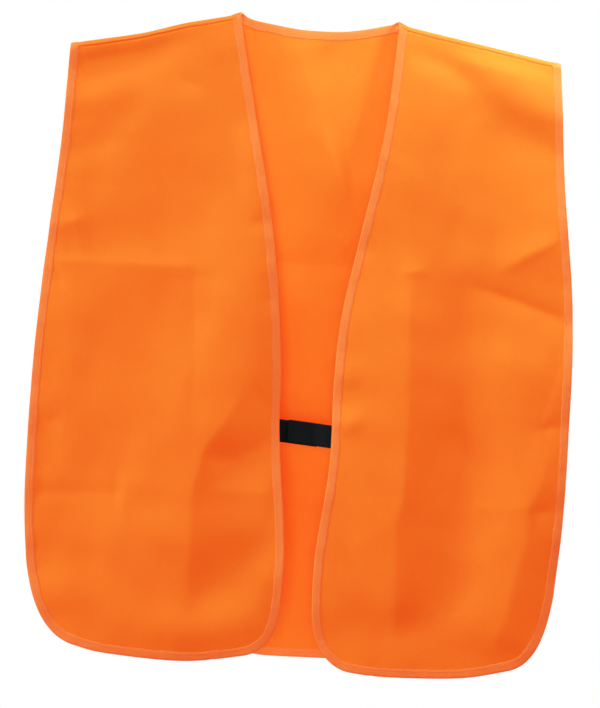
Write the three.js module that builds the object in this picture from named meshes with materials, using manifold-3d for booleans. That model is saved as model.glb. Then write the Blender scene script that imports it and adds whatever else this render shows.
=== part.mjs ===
// A blaze orange tabard vest: one back panel and two open fronts of light woven cloth, joined at the
// shoulders, bound all round, with a short hook and loop strap across the chest.
//
// Millimetres, +Z up. The vest hangs from its shoulders: the front faces -Y, the wearer's left is +X and
// the origin is midway between the two points where the shoulder seams meet the neck.
// Each sheet of cloth is drawn flat, X across and Y up the cloth, with its outer side towards the front
// for the fronts, and is then tilted so that front and back part as they fall.

import * as THREE from 'three';
import { mergeVertices } from 'three/addons/utils/BufferGeometryUtils.js';
import Module from 'manifold-3d';

const wasm = await Module();
wasm.setup();

// Driving dimensions
const NECK_HALF = 88; // half the neck width, on the shoulder line
const SHOULDER_TIP = 268; // from the middle to the end of the shoulder
const SHOULDER_DROP = 36; // how far the shoulder falls from neck to tip
const SHOULDER_HALF_GAP = 5; // half the space between front and back at the neck end of the shoulder
const TILT = Math.atan(0.055); // lean of each panel from upright
const CLOTH = 0.6; // panel thickness
const PRESSED = 0.05; // taken off each face where the binding or the shoulder seam grips the cloth
const BINDING_WIDTH = 9.5;
const BINDING_THICKNESS = 2.3;
const BINDING_WEB = 0.7; // cloth round the binding's folded edge
const GAP = 0.3; // clearance between pieces that touch
const WEBBING = 1.2; // strap thickness
const FASTENER = 0.8; // thickness of a hook or loop face
const STRAP_WIDTH = 25;
const STRAP_HEIGHT = -455; // middle of the chest strap
const STRAP_TIP = -15;
const STRAP_SLOPE = THREE.MathUtils.degToRad(-5.4);
const TAB_TIP = 17;
const ANCHOR_LENGTH = 30; // strap or tab sewn behind a front
const SIDE_STRAP_HEIGHT = -438; // middle of the elastic at each side
const SIDE_STRAP_REACH = 288; // from the middle of the vest to the elastic's outer face
const SIDE_STRAP_TAB = 24; // elastic lying on each panel
const FOLD_TOP = 104; // where the turn-back of a front meets the shoulder
const FOLD_FOOT = new THREE.Vector2(225, -703); // and the hem
const SEAM_START = 110; // neck end of the shoulder seam strip
const SEAM_DEPTH = 8;

// Half outlines, X from the middle outwards. The two fronts lie a little differently.
const RIGHT_FRONT = {
  edge: [[64, -118], [40, -244], [27, -370], [24.5, -460], [14, -580]],
  innerCorner: [[16, -650], [20, -692], [50, -701]],
  hem: [[118, -710], [204, -705]],
  outerCorner: [[238, -698], [284, -688], [296, -606]],
  side: [[301, -530], [299, -400], [292, -292], [280, -160]],
};
const LEFT_FRONT = {
  edge: [[77, -120], [54, -240], [38, -325], [32.5, -400], [31.5, -490], [20, -590]],
  innerCorner: [[19, -650], [22, -702], [58, -714]],
  hem: [[102, -718], [182, -716]],
  outerCorner: [[236, -706], [276, -698], [284, -612]],
  side: [[290, -540], [293, -440], [292, -311], [278, -175]],
};
const BACK = {
  neck: [[60, -7], [30, -12], [0, -13]],
  side: [[280, -160], [294, -300], [299, -420], [299, -530]],
  outerCorner: [[292, -625], [282, -688], [232, -692]],
  hem: [[117, -699], [0, -700]],
};

const ORANGE = '#f4762a';
const BINDING_ORANGE = '#f47d45';
const BLACK = '#14181d';

function clothMaterial(color, roughness) {
  return new THREE.MeshStandardMaterial({ color, roughness, metalness: 0 });
}

// Flat outlines

function vectors(pairs, mirror = 1) {
  return pairs.map(([x, y]) => new THREE.Vector2(x * mirror, y));
}

function turn(path, [start, control, end]) {
  path.lineTo(...start);
  path.quadraticCurveTo(...control, ...end);
}

function anticlockwise(points) {
  return THREE.ShapeUtils.isClockWise(points) ? points.slice().reverse() : points;
}

// Points closer than this along an outline are one point.
const SAME_POINT = 0.5;

function tidy(points) {
  const kept = points.filter((point, i) => i === 0 || point.distanceTo(points[i - 1]) > SAME_POINT);
  if (kept[0].distanceTo(kept[kept.length - 1]) < SAME_POINT) {
    kept.pop();
  }
  return kept;
}

// The cloth runs on above the shoulder line here, so that its binding can be cut off square there.
const ABOVE_SHOULDER = 25;

function frontOutline(half, mirror) {
  const path = new THREE.Path();
  path.moveTo(SHOULDER_TIP, ABOVE_SHOULDER - SHOULDER_DROP);
  path.lineTo(NECK_HALF + 4, ABOVE_SHOULDER);
  path.lineTo(NECK_HALF, 0);
  path.splineThru(vectors([...half.edge, half.innerCorner[0]]));
  turn(path, half.innerCorner);
  path.splineThru(vectors([...half.hem, half.outerCorner[0]]));
  turn(path, half.outerCorner);
  path.splineThru(vectors([...half.side, [SHOULDER_TIP, -SHOULDER_DROP]]));
  const points = path.getPoints(5).map(({ x, y }) => new THREE.Vector2(x * mirror, y));
  return anticlockwise(tidy(points));
}

function backOutline() {
  const path = new THREE.Path();
  path.moveTo(0, BACK.neck[2][1]);
  path.splineThru(vectors([BACK.neck[1], BACK.neck[0], [NECK_HALF, 0]]));
  path.lineTo(NECK_HALF + 4, ABOVE_SHOULDER);
  path.lineTo(SHOULDER_TIP, ABOVE_SHOULDER - SHOULDER_DROP);
  path.lineTo(SHOULDER_TIP, -SHOULDER_DROP);
  path.splineThru(vectors([...BACK.side, BACK.outerCorner[0]]));
  turn(path, BACK.outerCorner);
  path.splineThru(vectors(BACK.hem));
  const half = tidy(path.getPoints(5));
  const otherHalf = half.slice(1, -1).reverse().map(({ x, y }) => new THREE.Vector2(-x, y));
  return anticlockwise([...half, ...otherHalf]);
}

// The outline moved inwards by a distance, corner by corner.
function inset(points, distance) {
  return points.map((point, i) => {
    const before = points[(i + points.length - 1) % points.length];
    const after = points[(i + 1) % points.length];
    const into = point.clone().sub(before).normalize();
    const out = after.clone().sub(point).normalize();
    const normal = new THREE.Vector2(-into.y - out.y, into.x + out.x).normalize();
    const reach = distance / Math.max(0.5, normal.dot(new THREE.Vector2(-into.y, into.x)));
    return point.clone().addScaledVector(normal, reach);
  });
}

// Solids

function toSolid(geometry) {
  geometry.deleteAttribute('normal');
  geometry.deleteAttribute('uv');
  const merged = mergeVertices(geometry, 1e-4);
  return new wasm.Manifold(new wasm.Mesh({
    numProp: 3,
    vertProperties: merged.attributes.position.array,
    triVerts: new Uint32Array(merged.index.array),
  }));
}

function toGeometry(solid) {
  const mesh = solid.getMesh();
  const geometry = new THREE.BufferGeometry();
  geometry.setAttribute('position', new THREE.BufferAttribute(mesh.vertProperties, 3));
  geometry.setIndex(new THREE.BufferAttribute(mesh.triVerts, 1));
  geometry.computeVertexNormals();
  return geometry;
}

// A flat outline given thickness from low to high, where high is towards the front.
function slabGeometry(points, low, high) {
  const geometry = new THREE.ExtrudeGeometry(new THREE.Shape(points), {
    depth: high - low,
    bevelEnabled: false,
    steps: 1,
  });
  return geometry.translate(0, 0, low);
}

function slab(points, low, high) {
  return toSolid(slabGeometry(points, low, high));
}

const TALL = 60; // thickness of a cutting block
const WIDE = 400; // half width of a cutting block
const LOW = -800; // foot of a cutting block

function block(pairs) {
  return slab(vectors(pairs), -TALL / 2, TALL / 2);
}

function shoulderLine(x) {
  return -SHOULDER_DROP * (x - NECK_HALF) / (SHOULDER_TIP - NECK_HALF);
}

// Everything below the two shoulder lines, with the neck left open.
function belowShoulders(clearance) {
  const edge = shoulderLine(WIDE) - clearance;
  return block([
    [-WIDE, LOW], [WIDE, LOW], [WIDE, edge], [NECK_HALF, -clearance], [NECK_HALF, ABOVE_SHOULDER * 2],
    [-NECK_HALF, ABOVE_SHOULDER * 2], [-NECK_HALF, -clearance], [-WIDE, edge],
  ]);
}

// The part of a front that turns back: everything on the middle's side of its fold, less half the gap.
function flapSide(mirror, clearance) {
  const top = new THREE.Vector2(FOLD_TOP, shoulderLine(FOLD_TOP));
  const slope = (FOLD_FOOT.x - top.x) / (top.y - FOLD_FOOT.y);
  const foldX = (y) => top.x + slope * (top.y - y) - clearance;
  return block([
    [-WIDE * mirror, LOW], [foldX(LOW) * mirror, LOW],
    [foldX(ABOVE_SHOULDER * 2) * mirror, ABOVE_SHOULDER * 2], [-WIDE * mirror, ABOVE_SHOULDER * 2],
  ]);
}

function panelSolid(outline) {
  const half = CLOTH / 2;
  const gripped = slab(inset(outline, BINDING_WEB + GAP), PRESSED - half, half - PRESSED);
  const open = slab(inset(outline, BINDING_WIDTH + GAP), -half, half);
  const belowSeam = belowShoulders(SEAM_DEPTH + GAP * 4);
  return gripped.intersect(belowShoulders(GAP * 2)).add(open.intersect(belowSeam));
}

// Tape folded round the cloth's edge: a channel that the cloth's edge sits in.
function bindingSolid(outline) {
  const half = BINDING_THICKNESS / 2;
  const slot = CLOTH / 2 + GAP + 0.05;
  const inside = slab(inset(outline, BINDING_WIDTH), -TALL / 2, TALL / 2);
  const channel = slab(inset(outline, BINDING_WEB), -slot, slot);
  return slab(outline, -half, half).subtract(inside).subtract(channel).intersect(belowShoulders(GAP * 2));
}

// Parts

const vest = new THREE.Group();
const fronts = new THREE.Group();
fronts.position.y = -SHOULDER_HALF_GAP;
fronts.rotation.x = Math.PI / 2 - TILT;
const back = new THREE.Group();
back.position.y = SHOULDER_HALF_GAP;
back.rotation.x = Math.PI / 2 + TILT;
vest.add(fronts, back);

function add(group, name, geometry, material) {
  const mesh = new THREE.Mesh(geometry, material);
  mesh.name = name;
  group.add(mesh);
  return mesh;
}

function addFront(side, half, mirror) {
  const outline = frontOutline(half, mirror);
  const panel = panelSolid(outline);
  const binding = bindingSolid(outline);
  const flap = flapSide(mirror, GAP);
  const notFlap = flapSide(mirror, -GAP);
  add(fronts, `${side}_front_panel`, toGeometry(panel.intersect(flap)), clothMaterial(ORANGE, 0.8));
  add(fronts, `${side}_side_panel`, toGeometry(panel.subtract(notFlap)), clothMaterial(ORANGE, 0.8));
  const tape = () => clothMaterial(BINDING_ORANGE, 0.85);
  add(fronts, `${side}_front_binding`, toGeometry(binding.intersect(flap)), tape());
  add(fronts, `${side}_side_binding`, toGeometry(binding.subtract(notFlap)), tape());
}

function addBack() {
  const outline = backOutline();
  const neck = NECK_HALF + BINDING_WIDTH * 2;
  const neckBlock = block([[-neck, -45], [neck, -45], [neck, ABOVE_SHOULDER], [-neck, ABOVE_SHOULDER]]);
  const binding = bindingSolid(outline);
  add(back, 'back_panel', toGeometry(panelSolid(outline)), clothMaterial(ORANGE, 0.8));
  add(back, 'back_neck_binding', toGeometry(binding.intersect(neckBlock)), clothMaterial(BINDING_ORANGE, 0.85));
  add(back, 'back_edge_binding', toGeometry(binding.subtract(neckBlock)), clothMaterial(BINDING_ORANGE, 0.85));
}

// A solid through matching rings of points, closed at both ends.
function loft(rings) {
  const count = rings[0].length;
  const flat = rings[0].map(({ y, z }) => new THREE.Vector2(y, z));
  const caps = THREE.ShapeUtils.triangulateShape(flat, []);
  const index = [];
  for (let i = 0; i < count; i += 1) {
    const next = (i + 1) % count;
    index.push(i, count + i, next, next, count + i, count + next);
  }
  for (const [a, b, c] of caps) {
    index.push(a, b, c, count + c, count + b, count + a);
  }
  const geometry = new THREE.BufferGeometry();
  geometry.setAttribute('position', new THREE.Float32BufferAttribute(rings.flat().flatMap((p) => p.toArray()), 3));
  geometry.setIndex(index);
  geometry.computeVertexNormals();
  return geometry;
}

// The seam allowances of front and back, folded over together along the shoulder.
function addShoulderSeam(side, mirror) {
  const inner = BINDING_THICKNESS / 2 + GAP;
  const skin = CLOTH;
  const ring = (x) => {
    const top = shoulderLine(x);
    const at = (drop, out, sign) => {
      const z = top - drop;
      return new THREE.Vector3(x * mirror, sign * (SHOULDER_HALF_GAP - z * Math.tan(TILT) + out), z);
    };
    return [
      at(SEAM_DEPTH, inner + skin, -1), at(SEAM_DEPTH, inner, -1), at(-GAP, inner, -1), at(-GAP, inner, 1),
      at(SEAM_DEPTH, inner, 1), at(SEAM_DEPTH, inner + skin, 1),
      at(-GAP - skin, inner + skin, 1), at(-GAP - skin, inner + skin, -1),
    ];
  };
  const ends = [ring(SEAM_START), ring(SHOULDER_TIP)];
  const rings = mirror < 0 ? ends : ends.reverse();
  add(vest, `${side}_shoulder_seam`, loft(rings), clothMaterial(ORANGE, 0.8));
}

const BEHIND_BINDING = -BINDING_THICKNESS / 2 - GAP; // highest level of what is sewn behind a front

// A flat strip from startX to endX, STRAP_WIDTH tall about a height.
function stripOutline(startX, endX, middle, height = STRAP_WIDTH) {
  return vectors([
    [startX, middle - height / 2], [endX, middle - height / 2],
    [endX, middle + height / 2], [startX, middle + height / 2],
  ]);
}

const STITCH = 0.5; // how far a row of stitches stands off what it holds
const STITCH_FRAME = 2; // width of a stitched frame

// A stitched rectangle, as a thin frame lying behind what it holds.
function boxStitch(startX, endX, middle, level) {
  const outer = stripOutline(startX, endX, middle, STRAP_WIDTH - 5);
  const frame = slab(outer, level - STITCH, level);
  return frame.subtract(slab(inset(outer, STITCH_FRAME), -TALL / 2, TALL / 2));
}

function addHookTab() {
  const edge = -RIGHT_FRONT.edge[3][0];
  const root = edge - ANCHOR_LENGTH;
  const base = BEHIND_BINDING - WEBBING;
  add(fronts, 'hook_tab_webbing', slabGeometry(stripOutline(root, TAB_TIP, STRAP_HEIGHT), base, BEHIND_BINDING),
    clothMaterial(BLACK, 0.9));
  const hooks = stripOutline(edge + 2, TAB_TIP - 1, STRAP_HEIGHT, STRAP_WIDTH - 2);
  add(fronts, 'hook_tab_hooks', slabGeometry(hooks, BEHIND_BINDING + GAP, BEHIND_BINDING + GAP + FASTENER),
    clothMaterial(BLACK, 0.6));
  add(fronts, 'hook_tab_stitching', toGeometry(boxStitch(root + 3, edge - 2, STRAP_HEIGHT, base - GAP)),
    clothMaterial(BLACK, 0.7));
}

// The strap leaves from behind the left front and rises to lie on top of the hook tab. Its profile is
// drawn in X and level, then given its width and sloped about the point where it leaves.
const STRAP_EXIT = LEFT_FRONT.edge[4][0];
const STRAP_RISE_START = 30;
const STRAP_RISE_END = 13;

function slopedStrap(profile, width) {
  const geometry = new THREE.ExtrudeGeometry(new THREE.Shape(vectors(profile)), {
    depth: width,
    bevelEnabled: false,
    steps: 1,
  });
  geometry.translate(-STRAP_EXIT, 0, -width / 2);
  geometry.rotateX(Math.PI / 2);
  geometry.rotateZ(STRAP_SLOPE);
  return geometry.translate(STRAP_EXIT, STRAP_HEIGHT - 3, 0);
}

function addClosureStrap() {
  const low = BEHIND_BINDING - WEBBING;
  const hookTop = BEHIND_BINDING + GAP + FASTENER;
  const raised = hookTop + GAP + FASTENER + GAP;
  const free = [
    [STRAP_TIP, raised], [STRAP_RISE_END, raised], [STRAP_RISE_START, low], [STRAP_EXIT - GAP, low],
    [STRAP_EXIT - GAP, BEHIND_BINDING], [STRAP_RISE_START, BEHIND_BINDING],
    [STRAP_RISE_END, raised + WEBBING], [STRAP_TIP, raised + WEBBING],
  ];
  add(fronts, 'closure_strap_webbing', slopedStrap(free, STRAP_WIDTH), clothMaterial(BLACK, 0.9));
  const loop = [
    [STRAP_TIP + 1, raised - GAP - FASTENER], [STRAP_RISE_END, raised - GAP - FASTENER],
    [STRAP_RISE_END, raised - GAP], [STRAP_TIP + 1, raised - GAP],
  ];
  add(fronts, 'closure_strap_loop', slopedStrap(loop, STRAP_WIDTH - 2), clothMaterial(BLACK, 1));
  const anchor = [
    [STRAP_EXIT + GAP, low], [STRAP_EXIT + ANCHOR_LENGTH, low],
    [STRAP_EXIT + ANCHOR_LENGTH, BEHIND_BINDING], [STRAP_EXIT + GAP, BEHIND_BINDING],
  ];
  add(fronts, 'closure_strap_anchor', slopedStrap(anchor, STRAP_WIDTH), clothMaterial(BLACK, 0.9));
  const stitchMiddle = STRAP_HEIGHT - 3 + Math.tan(STRAP_SLOPE) * ANCHOR_LENGTH / 2;
  const stitching = boxStitch(STRAP_EXIT + 4, STRAP_EXIT + ANCHOR_LENGTH - 4, stitchMiddle, low - GAP);
  add(fronts, 'closure_strap_stitching', toGeometry(stitching), clothMaterial(BLACK, 0.7));
}

// Elastic across the open side, sewn inside the front and the back, with a bar of stitches at each end.
function addSideStrap(side, mirror) {
  const top = SIDE_STRAP_HEIGHT + STRAP_WIDTH / 2;
  const outer = SHOULDER_HALF_GAP - top * Math.tan(TILT) + BEHIND_BINDING - GAP;
  const inner = outer - WEBBING;
  const end = SIDE_STRAP_REACH - SIDE_STRAP_TAB;
  const corner = SIDE_STRAP_REACH - WEBBING;
  const profile = [
    [end, -outer], [SIDE_STRAP_REACH, -outer], [SIDE_STRAP_REACH, outer], [end, outer],
    [end, inner], [corner, inner], [corner, -inner], [end, -inner],
  ];
  const upright = (pairs, height) => {
    const shape = new THREE.Shape(anticlockwise(vectors(pairs, mirror)));
    const geometry = new THREE.ExtrudeGeometry(shape, { depth: height, bevelEnabled: false, steps: 1 });
    return geometry.translate(0, 0, SIDE_STRAP_HEIGHT - height / 2);
  };
  add(vest, `${side}_side_strap`, upright(profile, STRAP_WIDTH), clothMaterial(ORANGE, 0.9));
  for (const [where, sign] of [['front', -1], ['back', 1]]) {
    const face = (inner - GAP) * sign;
    const bar = [
      [end + 3, face], [end + 6, face], [end + 6, face - STITCH * sign], [end + 3, face - STITCH * sign],
    ];
    add(vest, `${side}_side_strap_${where}_tack`, upright(bar, STRAP_WIDTH - 4), clothMaterial(ORANGE, 0.7));
  }
}

addBack();
addFront('right', RIGHT_FRONT, -1);
addFront('left', LEFT_FRONT, 1);
addShoulderSeam('right', -1);
addShoulderSeam('left', 1);
addHookTab();
addClosureStrap();
addSideStrap('right', -1);
addSideStrap('left', 1);

export default vest;
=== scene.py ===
"""A blaze orange tabard vest: two open fronts and a back of light woven cloth, bound all round, with a
short black hook and loop strap across the chest. Cloth is laid out flat, in millimetres: X across, and A
down from the shoulder line, negative on the fronts and positive on the back. surface() places it."""
import math

import bpy
import numpy as np
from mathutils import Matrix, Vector
from mathutils.kdtree import KDTree


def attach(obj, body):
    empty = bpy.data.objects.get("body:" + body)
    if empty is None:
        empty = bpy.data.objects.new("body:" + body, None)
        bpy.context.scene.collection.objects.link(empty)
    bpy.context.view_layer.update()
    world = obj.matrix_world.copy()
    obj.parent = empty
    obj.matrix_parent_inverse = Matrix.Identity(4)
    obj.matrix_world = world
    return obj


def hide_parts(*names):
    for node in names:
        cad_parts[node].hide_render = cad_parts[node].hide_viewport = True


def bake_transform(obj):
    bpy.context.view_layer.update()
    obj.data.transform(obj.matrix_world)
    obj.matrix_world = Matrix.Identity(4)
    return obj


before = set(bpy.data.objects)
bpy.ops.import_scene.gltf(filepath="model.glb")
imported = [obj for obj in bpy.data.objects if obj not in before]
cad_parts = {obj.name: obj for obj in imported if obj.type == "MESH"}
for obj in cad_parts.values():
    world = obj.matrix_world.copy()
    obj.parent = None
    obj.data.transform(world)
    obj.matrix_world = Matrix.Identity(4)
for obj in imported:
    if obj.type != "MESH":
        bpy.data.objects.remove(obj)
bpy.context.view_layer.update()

# Sizes, in millimetres, as the CAD part has them
MM = 0.001
NECK_HALF = 88
SHOULDER_TIP = 268
SHOULDER_DROP = 36
HALF_GAP = 5
TILT = math.atan(0.055)
CLOTH = 0.6
BINDING_WIDTH = 9.5
STRAP_WIDTH = 25
STRAP_HEIGHT = -455
STRAP_SLOPE = math.radians(-5.4)
SEAM_DEPTH = 4.5  # how far below the shoulder's top edge the seam lies, on the front
STEP = 3.0  # spacing of the cloth's vertices
MIRROR = {"left": 1, "right": -1}  # the wearer's left is at positive x

rng = np.random.default_rng(7)

# Outlines seen from the front: (across, height)

RIGHT_FRONT = {
    "edge": [(64, -118), (40, -244), (27, -370), (24.5, -460), (14, -580)],
    "inner_corner": [(16, -650), (20, -692), (50, -701)],
    "hem": [(118, -710), (204, -705)],
    "outer_corner": [(238, -698), (284, -688), (296, -606)],
    "side": [(301, -530), (299, -400), (292, -292), (280, -160)],
}
LEFT_FRONT = {
    "edge": [(77, -120), (54, -240), (38, -325), (32.5, -400), (31.5, -490), (20, -590)],
    "inner_corner": [(19, -650), (22, -702), (58, -714)],
    "hem": [(102, -718), (182, -716)],
    "outer_corner": [(236, -706), (276, -698), (284, -612)],
    "side": [(290, -540), (293, -440), (292, -311), (278, -175)],
}
BACK = {
    "neck": [(60, -7), (30, -12), (0, -13)],
    "side": [(280, -160), (294, -300), (299, -420), (299, -530)],
    "outer_corner": [(292, -625), (282, -688), (232, -692)],
    "hem": [(117, -699), (0, -700)],
}


# Curves

def smooth(t):
    """Rises from 0 to 1 while t does, flat at both ends."""
    t = np.clip(t, 0, 1)
    return t * t * (3 - 2 * t)


def bell(distance, width):
    return np.exp(-((distance / width) ** 2))


def spline(points, steps=12):
    """A smooth curve through the points, with its ends' own directions."""
    p = np.array(points, float)
    curve = []
    for i in range(len(p) - 1):
        before, after = p[max(i - 1, 0)], p[min(i + 2, len(p) - 1)]
        start, end = p[i], p[i + 1]
        v0, v1 = (end - before) / 2, (after - start) / 2
        t = np.linspace(0, 1, steps, endpoint=False)[:, None]
        curve.append((2 * start - 2 * end + v0 + v1) * t**3
                     + (-3 * start + 3 * end - 2 * v0 - v1) * t**2 + v0 * t + start)
    return np.vstack(curve + [p[-1:]])


def corner(points, steps=14):
    """A rounded corner from a start, a control point and an end."""
    start, control, end = (np.array(p, float) for p in points)
    t = np.linspace(0, 1, steps)[:, None]
    return (1 - t) ** 2 * start + 2 * t * (1 - t) * control + t**2 * end


def shoulder_line(x):
    over = np.maximum(np.abs(x) - NECK_HALF, 0)
    return -SHOULDER_DROP * over / (SHOULDER_TIP - NECK_HALF)


# Flat outlines

def to_flat(points, side):
    """Front-view places (x, height) to flat cloth (x, a). side is -1 for the fronts and 1 for the back."""
    p = np.array(points, float)
    return np.column_stack([p[:, 0], side * (shoulder_line(p[:, 0]) - p[:, 1])])


def front_path(half, mirror):
    """From the neck point down the front edge, along the hem and up the side to the shoulder tip."""
    path = np.vstack([
        spline([(NECK_HALF, 0), *half["edge"], half["inner_corner"][0]])[:-1],
        corner(half["inner_corner"])[:-1],
        spline([half["inner_corner"][2], *half["hem"], half["outer_corner"][0]])[:-1],
        corner(half["outer_corner"])[:-1],
        spline([half["outer_corner"][2], *half["side"], (SHOULDER_TIP, -SHOULDER_DROP)]),
    ])
    path[:, 0] *= mirror
    return to_flat(path, -1)


BACK_SHIFT = -3.5  # the back's foot hangs a little to the wearer's right of the fronts
BACK_DROP = 7.4  # its hem is this much lower between the fronts and on the wearer's left


def back_path():
    """From the left shoulder tip down the side, along the hem and up to the right tip."""
    half = np.vstack([
        spline([(SHOULDER_TIP, -SHOULDER_DROP), *BACK["side"], BACK["outer_corner"][0]])[:-1],
        corner(BACK["outer_corner"])[:-1],
        spline([BACK["outer_corner"][2], *BACK["hem"]]),
    ])
    other = half[:-1][::-1] * (-1, 1)
    path = np.vstack([half, other])
    depth = -path[:, 1]
    path[:, 0] += BACK_SHIFT * np.clip(depth / 500, 0, 1)
    path[:, 1] -= BACK_DROP * smooth((path[:, 0] + 88) / 60) * smooth((depth - 560) / 120)
    return to_flat(path, 1)


def neck_path():
    """Across the back of the neck, from the right neck point to the left one."""
    half = spline([(NECK_HALF, 0), *BACK["neck"]])
    left_to_middle = half[::-1]
    right = half[:-1] * (-1, 1)
    return to_flat(np.vstack([right, left_to_middle]), 1)


def lengths_along(path):
    return np.concatenate([[0], np.cumsum(np.linalg.norm(np.diff(path, axis=0), axis=1))])


def resample(path, step=STEP):
    """The path as evenly spaced points, about step apart."""
    gaps = np.linalg.norm(np.diff(path, axis=0), axis=1)
    path = path[np.concatenate([[True], gaps > 1e-6])]
    along = lengths_along(path)
    count = max(2, round(along[-1] / step))
    at = np.linspace(0, along[-1], count + 1)
    return np.column_stack([np.interp(at, along, path[:, k]) for k in (0, 1)])


# One closed loop round the whole cloth, walked with the cloth on the left hand side.
runs = {
    "neck": resample(neck_path()),
    "left": resample(front_path(LEFT_FRONT, 1)),
    "back": resample(back_path()),
    "right": resample(front_path(RIGHT_FRONT, -1)[::-1]),
}
loop, spans = [], {}
for run_name, run in runs.items():
    spans[run_name] = (len(loop), len(loop) + len(run) - 1)
    loop.extend(run[:-1])
loop = np.array(loop)
for _ in range(3):  # rounds off what the spline points leave
    loop = (np.roll(loop, 1, axis=0) + 2 * loop + np.roll(loop, -1, axis=0)) / 4
tangent = np.roll(loop, -1, axis=0) - np.roll(loop, 1, axis=0)
tangent /= np.linalg.norm(tangent, axis=1)[:, None]
inward = np.column_stack([-tangent[:, 1], tangent[:, 0]])
loop_along = lengths_along(loop)


def nearest_on_loop(x, a):
    """Distance to the cloth's edge and the place along it, for each point."""
    tree = KDTree(len(loop))
    for k, place in enumerate(loop):
        tree.insert((*place, 0), k)
    tree.balance()
    found = [tree.find((px, pa, 0)) for px, pa in zip(x.tolist(), a.tolist())]
    return np.array([f[2] for f in found]), loop_along[np.array([f[1] for f in found])]


# Folds, creases and dents. Heights are millimetres towards the front; places are (x, height).

def crease(x, z, points, height, left, right, fade):
    """A sharp ridge along a line, or a valley if height is negative. left and right are its flanks' widths
    as one walks the line, and fade is the share of its length over which each end dies away."""
    p = np.array(points, float)
    starts = lengths_along(p)
    best = np.full(x.shape, 1e9)
    side = np.zeros(x.shape)
    at = np.zeros(x.shape)
    for i, length in enumerate(np.diff(starts)):
        ux, uz = (p[i + 1] - p[i]) / length
        dx, dz = x - p[i, 0], z - p[i, 1]
        t = np.clip(dx * ux + dz * uz, 0, length)
        d = np.hypot(dx - t * ux, dz - t * uz)
        closer = d < best
        best = np.where(closer, d, best)
        side = np.where(closer, ux * dz - uz * dx, side)
        at = np.where(closer, starts[i] + t, at)
    share = at / starts[-1]
    lean = np.clip(side / np.maximum(best, 1e-6), -1, 1)  # 1 beside the line on its left, 0 beyond an end
    width = right + (left - right) * (1 + lean) / 2
    ends = smooth(share / max(fade[0], 1e-3)) * smooth((1 - share) / max(fade[1], 1e-3))
    return height * np.exp(-best / width) * ends


def swell(x, z, points, height, width):
    """A soft rise along a line, or a hollow if height is negative."""
    beads = resample(np.array(points, float), width / 3)
    spacing = np.linalg.norm(beads[1] - beads[0])
    total = np.zeros(x.shape)
    for px, pz in beads:
        total += np.exp(-((x - px) ** 2 + (z - pz) ** 2) / width**2)
    return height * total * spacing / (width * math.sqrt(math.pi))


def dent(x, z, at, height, across, down, angle=0):
    """A round rise about one place, or a dent if height is negative."""
    c, s = math.cos(math.radians(angle)), math.sin(math.radians(angle))
    dx, dz = x - at[0], z - at[1]
    return height * bell(dx * c + dz * s, across) * bell(dz * c - dx * s, down)


# Creases: the line's points, height, width of the left and right flanks, and how the two ends fade.
RIGHT_CREASES = [
    # the valley strained up to the hook tab, and the ridge that runs from beside it down the pressed fold
    ([(-107, -486), (-71, -486), (-43, -468), (-14, -441)], -5.8, 30, 60, (0.22, 0.05)),
    ([(-45, -379), (-65, -412), (-88, -452), (-108, -483), (-117, -527), (-117, -638), (-117, -721)],
     11, 38, 90, (0.3, 0.5)),
    # pressed folds: the upper end of that one, one across the chest, and one across lower down in two pieces
    ([(-128, -276), (-121, -377), (-120, -479)], -2.8, 22, 34, (0.1, 0.3)),
    ([(-287, -277), (-202, -277), (-122, -276)], 1.8, 5, 8, (0, 0.1)),
    ([(-107, -523), (-26, -523)], 2.8, 20, 25, (0.3, 0.1)),
    ([(-291, -532), (-190, -531)], -3.2, 30, 14, (0, 0.12)),
    ([(-192, -433), (-190, -530)], -2.0, 16, 24, (0.4, 0.3)),
    # puckers at the side strap and under the arm, and the lower front edge turned back a little
    ([(-294, -453), (-258, -452)], -2.8, 10, 20, (0, 0.5)),
    ([(-287, -239), (-241, -226)], 5.0, 9, 30, (0, 0.45)),
    ([(-16, -602), (-12, -699)], -8, 10, 20, (0.3, 0)),
]
LEFT_CREASES = [
    # the long pressed fold, and the fainter ones across it
    ([(109, -204), (113, -327), (116, -419), (114, -524), (107, -550), (109, -649), (112, -749)],
     16, 40, 90, (0.36, 0.36)),
    ([(101, -273), (135, -271)], 1.6, 4, 6, (0.2, 0.3)),
    ([(186, -528), (253, -527)], 1.0, 5, 8, (0.2, 0)),
    ([(53, -580), (110, -547)], 3.0, 30, 40, (0.3, 0.2)),
    # the sharp crease in from the side and the ridge above it
    ([(153, -278), (218, -296), (301, -324)], -7, 15, 44, (0.5, 0)),
    ([(198, -276), (247, -246), (297, -217)], 4.6, 30, 11, (0.4, 0)),
    ([(156, -156), (195, -80)], 1.8, 24, 18, (0.4, 0.3)),
    # the side turned back below the side strap, with its two puckers
    ([(281, -447), (255, -526), (251, -562), (230, -644), (215, -698)], 6, 42, 60, (0.25, 0.15)),
    ([(254, -441), (295, -436)], -3.2, 9, 10, (0.4, 0)),
    ([(249, -532), (297, -529)], -3.2, 11, 8, (0.3, 0)),
]
BACK_CREASES = [
    # the narrow V below the neck, and the small one across its foot
    ([(-30, -16), (10, -120), (57, -240)], 3.6, 26, 18, (0.1, 0.2)),
    ([(10, -16), (29, -120), (57, -240)], -3.0, 16, 14, (0.1, 0.2)),
    ([(18, -226), (48, -252)], 2.2, 6, 8, (0.3, 0.3)),
    # pressed folds, two down and two across
    ([(-118, -30), (-120, -380), (-118, -690)], 4.0, 22, 30, (0.2, 0.05)),
    ([(112, -30), (116, -380), (112, -690)], 4.0, 28, 22, (0.2, 0.05)),
    ([(-292, -270), (0, -268), (290, -272)], -1.8, 10, 14, (0, 0)),
    ([(-296, -531), (0, -529), (292, -532)], 1.8, 12, 10, (0, 0)),
]
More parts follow.
